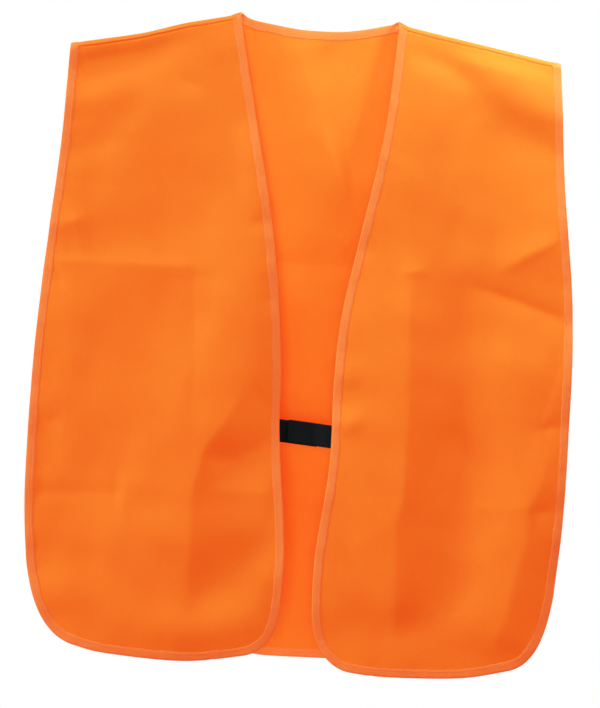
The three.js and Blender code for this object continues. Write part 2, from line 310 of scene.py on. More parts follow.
# Swells: the line's points, height and width.
RIGHT_SWELLS = [
    ([(-25, -294), (-17, -364), (-16, -435)], -7.5, 28),  # the front edge rolls back above the strap
    ([(-67, -278), (-110, -456)], 7, 56),
    ([(-107, -632), (-76, -620), (-47, -594), (-23, -570)], -4.6, 30),
    ([(-265, -633), (-196, -665), (-113, -680), (-57, -664)], 5.0, 25),  # the arc above the hem
    ([(-241, -286), (-153, -285)], 4.0, 27),
    ([(-126, -184), (-202, -266)], -4.5, 45),
    ([(-272, -75), (-168, -39)], -6, 19.5),  # three soft drapes from the armhole
    ([(-270, -118), (-195, -108)], -3.4, 18),
    ([(-273, -158), (-222, -136)], -4.2, 19),
    ([(-73, -124), (-49, -220)], 6.5, 18),  # a roll along the neck edge
]
LEFT_SWELLS = [
    ([(162, -279), (172, -462), (177, -613)], -9.5, 40),  # the hollow beside the long fold, and its foot
    ([(185, -615), (157, -646), (121, -666)], -2.8, 24),
    ([(55, -665), (110, -667)], -2.5, 26),
    ([(111, -31), (112, -98), (113, -203)], 10, 47),
    ([(172, -40), (212, -64), (287, -102)], 13, 31),  # the bright roll across the shoulder
    ([(105, -29), (142, -44), (175, -63)], -5, 15),
    ([(334, -423), (332, -501), (318, -594), (291, -714)], -9, 48),  # the side falls away
]
BACK_SWELLS = [
    ([(-250, -70), (-140, -330), (-170, -640)], -7, 55),
    ([(240, -90), (190, -350), (215, -660)], -7, 55),
    ([(-40, -330), (-10, -520), (-30, -690)], -4, 43),
    ([(-262, -60), (-150, -110)], -3, 15),
    ([(262, -60), (150, -110)], -3, 15),
]
FRONT_DENTS = [  # place, height, size across and down, and turn in degrees
    ((-256, -330), 4.5, 30, 40, 0),
    ((-139, -76), -1.6, 11, 5, -28),
    ((-55, -225), -2.4, 10, 7, 10),
    ((-41, -311), -1.8, 6, 5, 0),
    ((45, -390), 3, 17, 14, 0),
    ((52, -442), 3.6, 14, 11, 0),
    ((60, -249), -2.6, 8, 5, -20),
]


def waves(count, shortest, longest, height):
    """A fixed set of random ripples: wave vectors, phases and heights."""
    length = np.exp(rng.uniform(math.log(shortest), math.log(longest), count))
    angle = rng.uniform(0, math.pi, count)
    k = 2 * math.pi / length
    size = height * (length / longest) ** 0.8
    return k * np.cos(angle), k * np.sin(angle), rng.uniform(0, 2 * math.pi, count), size


CLOTH_WAVES = waves(26, 40, 220, 0.40)
EDGE_WAVES = waves(14, 9, 34, 0.35)


def ripple(x, z, table):
    total = np.zeros(x.shape)
    for kx, kz, phase, size in zip(*table):
        total += size * np.sin(kx * x + kz * z + phase)
    return total


WAVE_SHIFT = 400  # the back reads the ripples from another place than the fronts
PUCKER_REACH = 11  # the edge's own ripples die away over this distance
SHOULDER_CALM = 26  # folds grow over this distance from the shoulder line
FOLD_LIMIT = 18.0  # no fold stands further out or in
HEM_RESTRAINT = 5.0  # and at the hem this much less far out
MEETING_ROOM = 3.0  # how far inwards folds may go at the shoulder; there is more room lower down


def worked_relief(x, a):
    """How far the cloth stands towards the front at each flat place, from every fold and ripple."""
    z = shoulder_line(x) - np.abs(a)
    distance, along = nearest_on_loop(x, a)
    front = a < 0
    height = np.zeros(x.shape)
    panels = (
        (front & (x < 0), RIGHT_CREASES, RIGHT_SWELLS),
        (front & (x >= 0), LEFT_CREASES, LEFT_SWELLS),
        (~front, BACK_CREASES, BACK_SWELLS),
    )
    for where, creases, swells in panels:
        for mark in creases:
            height[where] += crease(x[where], z[where], *mark)
        for mark in swells:
            height[where] += swell(x[where], z[where], *mark)
    for mark in FRONT_DENTS:
        height[front] += dent(x[front], z[front], *mark)
    height += ripple(x + WAVE_SHIFT * np.where(front, 1, -1), z, CLOTH_WAVES)
    height += ripple(along, along * 0, EDGE_WAVES) * np.exp(-distance / PUCKER_REACH)
    height *= smooth(np.abs(a) / SHOULDER_CALM)
    inwards = np.minimum(MEETING_ROOM - z * math.tan(TILT), FOLD_LIMIT)  # the fronts and the back never meet
    outwards = FOLD_LIMIT - HEM_RESTRAINT * smooth((-z - 600) / 100)
    limit = np.where((height > 0) == front, outwards, inwards)
    return height / (1 + np.abs(height / limit) ** 4) ** 0.25


# The relief is worked out once, on a grid over the flat cloth, and read from there.
RELIEF_STEP = 2.0
relief_x = np.arange(-316, 316.1, RELIEF_STEP)
relief_a = np.arange(-730, 730.1, RELIEF_STEP)
relief_grid = np.meshgrid(relief_x, relief_a)
grid_places = relief_grid[0].ravel(), relief_grid[1].ravel()
sharp_relief = worked_relief(*grid_places).reshape(relief_grid[0].shape)


def blurred(table, reach):
    """The table averaged over a bell of the given width, in millimetres."""
    steps = np.arange(-round(3 * reach / RELIEF_STEP), round(3 * reach / RELIEF_STEP) + 1)
    weights = np.exp(-((steps * RELIEF_STEP / reach) ** 2) / 2)
    weights /= weights.sum()
    for axis in (0, 1):
        padded = np.pad(table, [(len(steps) // 2,) * 2 if k == axis else (0, 0) for k in (0, 1)], "edge")
        table = np.apply_along_axis(np.convolve, axis, padded, weights, "valid")
    return table


# Creases are softer under the tape, which is stiffer than the cloth.
CLOTH_SOFTNESS = 1.6
TAPE_SOFTNESS = 6
TAPE_HOLD, HOLD_FADE = 8, 16  # the tape's stiffness is whole this far in, and gone this much further
edge_distance = nearest_on_loop(*grid_places)[0].reshape(sharp_relief.shape)
under_tape = 1 - smooth((edge_distance - TAPE_HOLD) / HOLD_FADE)
relief_table = (blurred(sharp_relief, CLOTH_SOFTNESS) * (1 - under_tape)
                + blurred(sharp_relief, TAPE_SOFTNESS) * under_tape)


def relief(x, a):
    """Height at a place, read between the table's nearest four."""
    across = np.clip((x - relief_x[0]) / RELIEF_STEP, 0, len(relief_x) - 1.001)
    down = np.clip((a - relief_a[0]) / RELIEF_STEP, 0, len(relief_a) - 1.001)
    i, j = down.astype(int), across.astype(int)
    s, t = down - i, across - j
    near = relief_table[i, j] * (1 - t) + relief_table[i, j + 1] * t
    far = relief_table[i + 1, j] * (1 - t) + relief_table[i + 1, j + 1] * t
    return near * (1 - s) + far * s


NECK_PEAK = 3.2  # the binding stands up in a small twisted peak at each neck point
SHOULDER_RISE = 4.0  # the right shoulder stands a little proud next to the neck
NAPE_RISE = 2.8  # the back neckline stands up between the neck points
NAPE_EXTRA = 1.5  # and more near the right one
TIP_REACH = 5.5  # the right shoulder's tip stands out a little


def raised(x, a):
    """How far each flat place stands above the plain shoulder line's shape."""
    peak = NECK_PEAK * bell(np.abs(x) - NECK_HALF + 1, 8) * bell(a, 7)
    shoulder = SHOULDER_RISE * smooth((-x - 70) / 25) * smooth((200 + x) / 60) * bell(a, 60)
    between_points = smooth((NECK_HALF + 3 - np.abs(x)) / 16)
    nape = (NAPE_RISE + NAPE_EXTRA * bell(x + 40, 28)) * between_points * smooth(a / 5) * bell(a, 45)
    return peak + shoulder + nape


def surface(x, a):
    """Flat cloth places to points in millimetres."""
    z = shoulder_line(x) - np.abs(a)
    turn = np.clip(np.abs(a) / HALF_GAP, 0, 1)
    depth = (HALF_GAP - z * math.tan(TILT)) * np.sqrt(np.maximum(1 - (1 - turn) ** 2, 0))
    y = np.where(a < 0, -depth, depth) - relief(x, a)
    out = TIP_REACH * smooth((-x - 205) / 60) * bell(a, 70)
    return np.column_stack([x - out, y, z * math.cos(TILT) + raised(x, a)])


def placed(x, a, lift):
    """Points raised by lift millimetres from the cloth's middle, outwards."""
    x, a = np.asarray(x, float), np.asarray(a, float)
    across = surface(x + 1, a) - surface(x - 1, a)
    down = surface(x, a + 1) - surface(x, a - 1)
    normal = np.cross(across, down)
    normal /= np.maximum(np.linalg.norm(normal, axis=1), 1e-9)[:, None]
    return surface(x, a) + normal * np.asarray(lift, float).reshape(-1, 1)


# Meshes

def volume(points, faces):
    """Signed volume: positive where the faces turn outwards."""
    triangles = np.array([(face[0], *face[k:k + 2]) for face in faces for k in range(1, len(face) - 1)])
    a, b, c = (points[triangles[:, k]] for k in range(3))
    return (a * np.cross(b, c)).sum() / 6


def make_mesh(name, points_mm, faces, material):
    points_mm = np.asarray(points_mm)
    if volume(points_mm, faces) < 0:
        faces = [face[::-1] for face in faces]
    mesh = bpy.data.meshes.new(name)
    mesh.from_pydata((points_mm * MM).tolist(), [], faces)
    mesh.update()
    mesh.materials.append(material)
    obj = bpy.data.objects.new(name, mesh)
    bpy.context.scene.collection.objects.link(obj)
    for polygon in mesh.polygons:
        polygon.use_smooth = True
    return obj


def tube_faces(rings, sides, first=0):
    """Faces of a tube whose points go round each ring in turn, with a cap at each end."""
    faces = []
    for ring in range(rings - 1):
        near, far = first + ring * sides, first + (ring + 1) * sides
        for s in range(sides):
            t = (s + 1) % sides
            faces.append((near + s, near + t, far + t, far + s))
    last = first + (rings - 1) * sides
    faces.append(tuple(range(first, first + sides))[::-1])
    faces.append(tuple(range(last, last + sides)))
    return faces


def thick_sheet(name, outer, inner, quads, rim, material):
    """The two faces of a sheet, joined along the edges of its rim."""
    count = len(outer)
    faces = [tuple(q) for q in quads] + [tuple(k + count for k in q[::-1]) for q in quads]
    faces += [(b, a, a + count, b + count) for a, b in rim]
    return make_mesh(name, np.vstack([outer, inner]), faces, material)


def inside(points, outline):
    """Which points lie inside a closed outline."""
    x, y = points[:, 0], points[:, 1]
    result = np.zeros(len(points), bool)
    previous = outline[-1]
    for current in outline:
        crosses = (current[1] > y) != (previous[1] > y)
        with np.errstate(divide="ignore", invalid="ignore"):
            at = (previous[0] - current[0]) * (y - current[1]) / (previous[1] - current[1]) + current[0]
        result ^= crosses & (x < at)
        previous = current
    return result


def snapped(points, outline):
    """Each point moved to the nearest place on the closed outline."""
    start, end = outline, np.roll(outline, -1, axis=0)
    run = end - start
    square = np.maximum((run**2).sum(1), 1e-9)
    t = np.clip(((points[:, None] - start) * run).sum(2) / square, 0, 1)
    place = start + t[:, :, None] * run
    d = np.linalg.norm(points[:, None] - place, axis=2)
    return place[np.arange(len(points)), d.argmin(1)]


def cloth_panel(name, outline, rows, columns, material):
    """A sheet of cloth with real thickness, filling an outline drawn in (x, a)."""
    grid_x, grid_a = np.meshgrid(columns, rows)
    flat = np.column_stack([grid_x.ravel(), grid_a.ravel()])
    keep = inside(flat, outline)
    wide = len(columns)
    quads = []
    for r in range(len(rows) - 1):
        for c in range(wide - 1):
            corners = (r * wide + c, r * wide + c + 1, (r + 1) * wide + c + 1, (r + 1) * wide + c)
            if all(keep[k] for k in corners):
                quads.append(corners)
    quads = np.array(quads)
    used, index = np.unique(quads, return_inverse=True)
    quads = index.reshape(-1, 4)
    flat = flat[used]
    edges = {}
    for quad in quads.tolist():
        for edge in zip(quad, quad[1:] + quad[:1]):
            if edges.pop(edge[::-1], None) is None:  # an edge met twice is not on the rim
                edges[edge] = True
    rim = np.unique(list(edges))
    flat[rim] = snapped(flat[rim], outline)
    outer = placed(*flat.T, CLOTH / 2)
    inner = placed(*flat.T, -CLOTH / 2)
    return thick_sheet(name, outer, inner, quads.tolist(), edges, material)


def span(name):
    """Indices round the loop of one run of the edge."""
    first, last = spans[name]
    return np.arange(first, last + 1) % len(loop)


# Edge tape and stitches

def section():
    """Tape folded round the cloth's edge: (in from the edge, up from the cloth's middle)."""
    outer = [(9.5, 0.5), (9.0, 0.7), (8.2, 0.84), (7.4, 0.74), (6.6, 0.86), (4.5, 0.94), (2.2, 0.92),
             (0.9, 0.8), (0.2, 0.48)]
    edge = [(0, 0)]
    lining = [(9.5, -0.36), (1.2, -0.36), (1.2, 0.36), (9.5, 0.36)]
    return np.array(outer + edge + [(b, -n) for b, n in outer[::-1]] + lining)


PUCKER = waves(10, 6, 16, 0.16)
PUCKER_IN = 1.3  # how much of a pucker shows in the tape's inner edge
PUCKER_OUT = 0.5  # and in its thickness


def binding(name, indices, material):
    """Edge tape swept along part of the loop."""
    shape = section()
    n, m = len(indices), len(shape)
    wobble = ripple(loop_along[indices], loop_along[indices] * 0, PUCKER)[:, None]
    into = np.repeat(shape[None, :, 0], n, 0)
    into = into + (into > 8) * wobble * PUCKER_IN
    lift = np.repeat(shape[None, :, 1], n, 0)
    lift = lift + np.sign(lift) * (np.abs(lift) > 0.6) * wobble * PUCKER_OUT
    flat = loop[indices][:, None, :] + into[:, :, None] * inward[indices][:, None, :]
    points = placed(flat[:, :, 0].ravel(), flat[:, :, 1].ravel(), lift.ravel())
    return make_mesh(name, points, tube_faces(n, m), material)


STITCH_LENGTH = 2.5
STITCH_PITCH = 3.3
STITCH_RADIUS = 0.26
STITCH_RINGS = [(-0.5, 0.25), (-0.32, 0.8), (0, 1), (0.32, 0.8), (0.5, 0.25)]  # (along, thickness)
STITCH_SIDES = 6


def thread_template():
    """A short bead of thread: (along, across, up) points and faces."""
    points = []
    for at, size in STITCH_RINGS:
        arch = STITCH_RADIUS * 0.8 * (1 - 4 * at * at)
        for s in range(STITCH_SIDES):
            angle = 2 * math.pi * s / STITCH_SIDES
            points.append((at * STITCH_LENGTH, STITCH_RADIUS * size * math.cos(angle),
                           STITCH_RADIUS * size * math.sin(angle) + arch))
    return np.array(points), tube_faces(len(STITCH_RINGS), STITCH_SIDES)


def stitches_at(name, centres, alongs, ups, material):
    """Stitches at points in millimetres, each lying along its own direction."""
    template, template_faces = thread_template()
    centres, alongs, ups = (np.asarray(v, float) for v in (centres, alongs, ups))
    alongs = alongs / np.linalg.norm(alongs, axis=1)[:, None]
    ups = ups - (ups * alongs).sum(1)[:, None] * alongs
    ups /= np.linalg.norm(ups, axis=1)[:, None]
    across = np.cross(ups, alongs)
    points = (centres[:, None] + template[None, :, 0:1] * alongs[:, None]
              + template[None, :, 1:2] * across[:, None] + template[None, :, 2:3] * ups[:, None])
    count = len(template)
    faces = [tuple(k + i * count for k in f) for i in range(len(centres)) for f in template_faces]
    return make_mesh(name, points.reshape(-1, 3), faces, material)


def lie_on_cloth(x, a, step_x, step_a, lift):
    """Places, directions and outward directions for stitches that lie on the cloth."""
    here = placed(x, a, lift)
    core = placed(x, a, 0)
    ahead = placed(x + step_x, a + step_a, 0)
    return here, ahead - core, here - core


STITCH_INSET = 7.4  # the binding's row of stitches, in from its edge
STITCH_LIFT = 0.74


def binding_stitches(name, indices, material):
    """The row of stitches along one run of binding, on both of its faces."""
    line = loop[indices] + STITCH_INSET * inward[indices]
    line = resample(line, STITCH_PITCH)
    middle = (line[1:] + line[:-1]) / 2
    run = np.diff(line, axis=0)
    run /= np.linalg.norm(run, axis=1)[:, None]
    faces = [lie_on_cloth(*middle.T, *run.T, side * STITCH_LIFT) for side in (1, -1)]
    centres, alongs, ups = (np.vstack(part) for part in zip(*faces))
    return stitches_at(name, centres, alongs, ups, material)


# Materials

def set_inputs(node, values):
    for name, value in values.items():
        node.inputs[name].default_value = value


def new_material(name, colour, roughness):
    material = bpy.data.materials.new(name)
    material.use_nodes = True
    shader = material.node_tree.nodes["Principled BSDF"]
    set_inputs(shader, {"Base Color": (*colour, 1), "Roughness": roughness})
    return material, shader


def math_node(tree, operation, *values):
    node = tree.nodes.new("ShaderNodeMath")
    node.operation = operation
    for socket, value in zip(node.inputs, values):
        if isinstance(value, (int, float)):
            socket.default_value = value
        else:
            tree.links.new(value, socket)
    return node.outputs[0]


def noise_node(tree, scale, detail, roughness, vector):
    node = tree.nodes.new("ShaderNodeTexNoise")
    set_inputs(node, {"Scale": scale, "Detail": detail, "Roughness": roughness})
    tree.links.new(vector, node.inputs["Vector"])
    return node.outputs["Fac"]


def ramp_node(tree, factor, stops):
    node = tree.nodes.new("ShaderNodeValToRGB")
    while len(node.color_ramp.elements) < len(stops):
        node.color_ramp.elements.new(0.5)
    for element, (at, colour) in zip(node.color_ramp.elements, stops):
        element.position = at
        element.color = (*colour, 1)
    tree.links.new(factor, node.inputs["Fac"])
    return node.outputs["Color"]


BUMP_DEPTH = 0.0002
SHEEN_ROUGHNESS = 0.45
PAINTED_GLOW_COLOUR = (1.0, 0.0165, 0.0026)  # painted glow: partly the dye's real fluorescence, mostly painted light that keeps the red bright in shade


def woven(name, colour, shade, roughness, pitch, weave_bump, sheen, sheen_tint, painted_glow, gloss=0.2):
    """Plain-woven cloth: over and under yarns, slubs, and patches where the dye is a little deeper, with a
    painted red glow that keeps it bright in shade.
    """
    material, shader = new_material(name, colour, roughness)
    tree = material.node_tree
    place = tree.nodes.new("ShaderNodeTexCoord").outputs["Object"]
    parts = tree.nodes.new("ShaderNodeSeparateXYZ")
    tree.links.new(place, parts.inputs[0])
    per_metre = 2 * math.pi / (pitch * MM)
    warp, weft = (math_node(tree, "SINE", math_node(tree, "MULTIPLY", parts.outputs[axis], per_metre))
                  for axis in ("X", "Z"))
    weave = math_node(tree, "MULTIPLY", warp, weft)
    patches = noise_node(tree, 14, 4, 0.6, place)
    slub = noise_node(tree, 420, 3, 0.65, place)
    mixed = math_node(tree, "ADD", math_node(tree, "MULTIPLY", patches, 0.6),
                      math_node(tree, "MULTIPLY", slub, 0.4))
    mixed = math_node(tree, "ADD", mixed, math_node(tree, "MULTIPLY", weave, 0.05))
    tree.links.new(ramp_node(tree, mixed, [(0.3, shade), (0.68, colour)]), shader.inputs["Base Color"])
    rough = math_node(tree, "ADD", math_node(tree, "MULTIPLY", slub, 0.16), roughness - 0.08)
    tree.links.new(rough, shader.inputs["Roughness"])
    height = math_node(tree, "ADD", weave, math_node(tree, "MULTIPLY", slub, 1.2))
    bump = tree.nodes.new("ShaderNodeBump")
    set_inputs(bump, {"Strength": weave_bump, "Distance": BUMP_DEPTH})
    tree.links.new(height, bump.inputs["Height"])
    tree.links.new(bump.outputs["Normal"], shader.inputs["Normal"])
    tint = (*sheen_tint, 1)
    set_inputs(shader, {"Sheen Weight": sheen, "Sheen Roughness": SHEEN_ROUGHNESS, "Sheen Tint": tint,
                        "Specular IOR Level": gloss, "Specular Tint": tint})
    # Painted glow: an emission, much stronger than the dye's real fluorescence, so the red stays bright in
    # shade.
    if painted_glow:
        set_inputs(shader, {"Emission Color": (*PAINTED_GLOW_COLOUR, 1), "Emission Strength": painted_glow})
    return material


WARM = (1.0, 0.42, 0.08)
COOL = (0.8, 0.9, 1.0)
# The orange cloth, tape and elastic each carry a painted red glow that keeps them bright in shade.
orange = woven("orange_cloth", (0.19, 0.173, 0.0165), (0.17, 0.145, 0.013), roughness=0.62, pitch=0.62,
               weave_bump=0.35, sheen=0.04, sheen_tint=WARM, painted_glow=0.73)
tape = woven("orange_binding", (0.21, 0.212, 0.050), (0.18, 0.165, 0.032), roughness=0.7, pitch=0.9,
             weave_bump=0.6, sheen=0.08, sheen_tint=WARM, painted_glow=0.70)
elastic = woven("orange_elastic", (0.30, 0.16, 0.018), (0.25, 0.12, 0.01), roughness=0.75, pitch=1.6,
                weave_bump=0.8, sheen=0.08, sheen_tint=WARM, painted_glow=0.5)
thread, _ = new_material("orange_thread", (0.80, 0.24, 0.06), 0.55)
webbing = woven("black_webbing", (0.006, 0.0068, 0.0078), (0.003, 0.0036, 0.0042), roughness=0.8, pitch=1.1,
                weave_bump=0.8, sheen=0.012, sheen_tint=COOL, painted_glow=0, gloss=0.06)
black_thread, _ = new_material("black_thread", (0.01, 0.012, 0.016), 0.6)
pile = woven("loop_pile", (0.012, 0.014, 0.019), (0.004, 0.005, 0.007), roughness=0.95, pitch=0.9,
             weave_bump=1.0, sheen=0.2, sheen_tint=COOL, painted_glow=0)
hooks, hook_shader = new_material("hook_face", (0.004, 0.003, 0.003), 0.5)
set_inputs(hook_shader, {"Specular IOR Level": 0.15})

# Camera

CAMERA_DISTANCE = 4.0
VIEW_CENTRE = Vector((-0.00595, 0, -0.368))
VIEW_HEIGHT = 0.7788
CAMERA_ROLL = math.radians(2.5)
VEST_PLANE = -0.02  # the camera's distance is measured from the front of the vest
SENSOR = 36
camera_data = bpy.data.cameras.new("camera")
camera_data.sensor_fit = "VERTICAL"
camera_data.sensor_height = SENSOR
camera_data.lens = SENSOR * CAMERA_DISTANCE / VIEW_HEIGHT
camera = bpy.data.objects.new("camera", camera_data)
camera.location = VIEW_CENTRE + Vector((0, VEST_PLANE - CAMERA_DISTANCE, 0))
camera.rotation_euler = (math.radians(90), -CAMERA_ROLL, 0)
bpy.context.scene.collection.objects.link(camera)
bpy.context.scene.camera = camera

# Floor, surroundings and lights

FLOOR_HEIGHT = -1.7
FLOOR_REACH = 8
FLOOR_GLOW = 0.75  # keeps the floor pale out to its edges; it lights nothing
FILL = 0.245  # how bright the surroundings are as a light; the camera sees them white
LIGHTS = (  # name, place in metres, where it points, size, power in watts
    ("overhead", (-0.9, -1.25, 3.0), (0, 0, -0.37), 0.8, 80),
    ("side", (-3.6, -0.85, 1.0), (0, 0, -0.37), 0.7, 184),
    ("shoulder", (0.42, -0.2, 0.28), (0.22, 0, -0.05), 0.12, 4.4),
    ("below", (0.2, -2.4, -1.5), (0, 0, -0.6), 1.6, 23),
    ("inside", (-0.2, -3.2, -0.5), (0, 0, -0.5), 1.0, 53),
    ("rear", (3.2, 1.5, 1.3), (0, 0, -0.37), 0.9, 240),
)


def studio_floor():
    """A pale floor well below the vest, which takes shadows but throws no light back."""
    pale, shader = new_material("studio_floor", (0.8, 0.8, 0.8), 0.9)
    set_inputs(shader, {"Emission Color": (1, 1, 1, 1), "Emission Strength": FLOOR_GLOW})
    reach = FLOOR_REACH / MM
    corners = [(-reach, -reach), (reach, -reach), (reach, reach), (-reach, reach)]
    floor = make_mesh("studio_floor", [(x, y, FLOOR_HEIGHT / MM) for x, y in corners], [(0, 1, 2, 3)], pale)
    floor.visible_diffuse = False
    floor.visible_glossy = False


def studio_world():
    """White to the camera, and a weaker fill light to everything else."""
    world = bpy.data.worlds.new("studio")
    bpy.context.scene.world = world
    world.use_nodes = True
    tree = world.node_tree
    seen = tree.nodes.new("ShaderNodeLightPath").outputs["Is Camera Ray"]
    strength = math_node(tree, "MAXIMUM", seen, FILL)
    background = tree.nodes["Background"]
    set_inputs(background, {"Color": (1, 1, 1, 1)})
    tree.links.new(strength, background.inputs["Strength"])


def area_light(name, place, target, size, power):
    data = bpy.data.lights.new(name, "AREA")
    data.size = size
    data.energy = power
    light = bpy.data.objects.new(name, data)
    light.location = place
    light.visible_camera = False
    light.rotation_euler = (Vector(target) - Vector(place)).to_track_quat("-Z", "Y").to_euler()
    bpy.context.scene.collection.objects.link(light)


studio_floor()
studio_world()
for light_values in LIGHTS:
    area_light(*light_values)
bpy.context.scene.view_settings.view_transform = "Standard"

# Panels

EDGE_INSET = 2.4  # the cloth's own edge, inside the folded tape


def inset(points, distance):
    """The outline moved inwards, walked with its inside on the left hand."""
    step_in = np.roll(points, -1, axis=0) - np.roll(points, 1, axis=0)
    step_in /= np.linalg.norm(step_in, axis=1)[:, None]
    return points + distance * np.column_stack([-step_in[:, 1], step_in[:, 0]])


def front_panel(side):
    path = loop[span(side)]
    path = path[path[:, 1] < -SEAM_DEPTH]
    top = [(path[-1, 0], -1.0), (path[0, 0], -1.0)]
    outline = inset(np.vstack([path, resample(np.array(top), STEP)]), EDGE_INSET)
    columns, rows = (np.linspace(v.min(), v.max(), round(np.ptp(v) / STEP)) for v in outline.T)
    return cloth_panel(f"{side}_front_cloth", outline, rows, columns, orange)


def back_panel():
    """The back, with closer rows where it bends over the shoulder."""
    neck, back = loop[span("neck")], loop[span("back")]
    lip = -SEAM_DEPTH  # it comes over the shoulder as far as the seam
    tip = SHOULDER_TIP - 1.0
    point = NECK_HALF - 1.0
    left_lip = resample(np.array([(point + 2, lip), (tip, lip)]), STEP)
    right_lip = resample(np.array([(-tip, lip), (-point - 2, lip)]), STEP)
    outline = np.vstack([
        neck[2:-2], [(point, 0), (point - 1, lip)], left_lip,
        back[1:-1], right_lip, [(-point + 1, lip), (-point, 0)],
    ])
    outline = inset(outline, EDGE_INSET)
    bend = [HALF_GAP * (1 - math.cos(math.radians(15 * k))) for k in range(1, 7)]
    deepest = outline[:, 1].max()
    flat_rows = np.arange(HALF_GAP + STEP, deepest + STEP, STEP)
    rows = np.concatenate([[-b for b in bend[::-1]], [0], bend, flat_rows])
    columns = np.arange(-303, 303.1, STEP)
    return cloth_panel("back_cloth", outline, rows, columns, orange)


def fold_blend(obj):
    """Bakes the piece's placing into its mesh."""
    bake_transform(obj)


for side in ("left", "right"):
    panel = front_panel(side)
    fold_blend(panel)
    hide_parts(f"{side}_front_panel", f"{side}_side_panel")
    edge_tape = binding(f"{side}_front_tape", span(side), tape)
    fold_blend(edge_tape)
    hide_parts(f"{side}_front_binding", f"{side}_side_binding")
    edge_thread = binding_stitches(f"{side}_front_tape_stitches", span(side), thread)
    fold_blend(edge_thread)

back_cloth = back_panel()
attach(back_cloth, "vest_body")
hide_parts("back_panel")
back_edging = []
for run_name, node in (("neck", "back_neck_binding"), ("back", "back_edge_binding")):
    edge_tape = binding(f"{run_name}_tape", span(run_name), tape)
    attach(edge_tape, "vest_body")
    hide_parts(node)
    edge_thread = binding_stitches(f"{run_name}_tape_stitches", span(run_name), thread)
    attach(edge_thread, "vest_body")
    back_edging += [edge_tape, edge_thread]


# Shoulder seams

# The fold's section: (down from the shoulder's top, up from the cloth's middle)
SEAM_SECTION = [(0.8, 0.2), (1.2, 0.5), (2.2, 0.62), (3.4, 0.56), (4.2, 0.62), (4.9, 0.54), (5.3, 0.38),
                (5.4, -0.35), (4.4, -0.62), (2.4, -0.66), (0.9, -0.4)]
SEAM_STITCH_DEPTH = 3.9
SEAM_STITCH_LIFT = 0.56


def seam_fold(side):
    """The back's seam allowance turned over the front's along the shoulder."""
    mirror = MIRROR[side]
    shape = np.array(SEAM_SECTION)
    along = np.arange(NECK_HALF + 3, SHOULDER_TIP - 1, 2.0)
    n, m = len(along), len(shape)
    drift = 0.35 * np.sin(along / 17.0) + 0.2 * np.sin(along / 6.1)
    x = np.repeat(along[:, None] * mirror, m, 1)
    a = -(np.repeat(shape[None, :, 0], n, 0) + drift[:, None])
    lift = np.repeat(shape[None, :, 1], n, 0)
    points = placed(x.ravel(), a.ravel(), lift.ravel())
    fold_piece = make_mesh(f"{side}_shoulder_fold", points, tube_faces(n, m), orange)
    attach(fold_piece, "vest_body")
    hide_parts(f"{side}_shoulder_seam")
    at = np.arange(NECK_HALF + 11, SHOULDER_TIP - 10, STITCH_PITCH)
    depth = np.full(len(at), -SEAM_STITCH_DEPTH)
    frame_of_row = lie_on_cloth(at * mirror, depth, 1, 0, SEAM_STITCH_LIFT)
    row = stitches_at(f"{side}_shoulder_stitches", *frame_of_row, thread)
    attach(row, "vest_body")


# Straps

WEBBING = 1.2
FASTENER = 0.8
BEHIND = 1.9  # from the middle of the cloth to the middle of what is sewn behind it
ANCHOR = 30  # how much of each band is sewn behind its front
TAB_TIP = 17
STRAP_TIP = -15
RIGHT_EDGE = -24.5  # where the tab comes out from behind the right front
LEFT_EDGE = 32.0  # and the strap from behind the left one
STRAP_DROP = 3  # the strap is sewn on this much lower than the tab
BAND_ACROSS = np.linspace(-STRAP_WIDTH / 2, STRAP_WIDTH / 2, 27)
BAND_STEP = 0.33


def strip(name, rows_of_points, thickness, material, ribs=0.06, rib_pitch=1.3):
    """A band through a grid of points, along by across, with rounded edges, ribs and real thickness."""
    grid = np.asarray(rows_of_points, float)
    n, m = grid.shape[:2]
    along = np.gradient(grid, axis=0)
    across = np.gradient(grid, axis=1)
    normal = np.cross(along, across)
    normal /= np.linalg.norm(normal, axis=2)[:, :, None]
    run = lengths_along(grid[:, m // 2])
    share = np.linspace(-1, 1, m)
    edge = np.sqrt(np.maximum(1 - np.abs(share) ** 14, 0.06))
    rib = ribs * np.sin(run[:, None] * 2 * math.pi / rib_pitch)
    half = thickness / 2 * edge[None] + rib * (np.abs(share)[None] < 0.93)
    outer = grid + normal * half[:, :, None]
    inner = grid - normal * half[:, :, None]
    quads = [(i * m + j, (i + 1) * m + j, (i + 1) * m + j + 1, i * m + j + 1)
             for i in range(n - 1) for j in range(m - 1)]
    rim = [i * m for i in range(n)] + [(n - 1) * m + j for j in range(1, m)]
    rim += [i * m + m - 1 for i in range(n - 2, -1, -1)] + [j for j in range(m - 2, 0, -1)]
    edges = list(zip(rim, rim[1:] + rim[:1]))
    return thick_sheet(name, outer.reshape(-1, 3), inner.reshape(-1, 3), quads, edges, material)


def behind_front(x, v, drop):
    """Points at height v, drop millimetres behind the middle of a front's cloth."""
    x, v = np.asarray(x, float), np.asarray(v, float)
    return placed(x, v - shoulder_line(x), -drop)


def tab_y(v):
    """How far forward the hook tab lies at each height, where it leaves the right front."""
    return behind_front(np.full(len(v), RIGHT_EDGE - 2), v, BEHIND)[:, 1]


def strap_place(x, across):
    """The strap's middle surface: sewn behind the left front, then rising to lie on the hook tab."""
    x, across = np.asarray(x, float), np.asarray(across, float)
    v = STRAP_HEIGHT - STRAP_DROP + (x - LEFT_EDGE) * math.tan(STRAP_SLOPE) + across / math.cos(STRAP_SLOPE)
    hidden = behind_front(np.maximum(x, LEFT_EDGE + 1), v, BEHIND)
    on_tab = tab_y(v) - (WEBBING + FASTENER * 2 + 0.5)
    share = smooth((LEFT_EDGE + 1 - x) / 22)
    y = hidden[:, 1] * (1 - share) + on_tab * share
    bow = 0.5 * np.sin(np.clip((LEFT_EDGE - x) / (LEFT_EDGE - STRAP_TIP), 0, 1) * math.pi)
    return np.column_stack([x, y - bow, v * math.cos(TILT)])


CROSS_HALF = 9.5  # half the height of a boxed cross of stitches


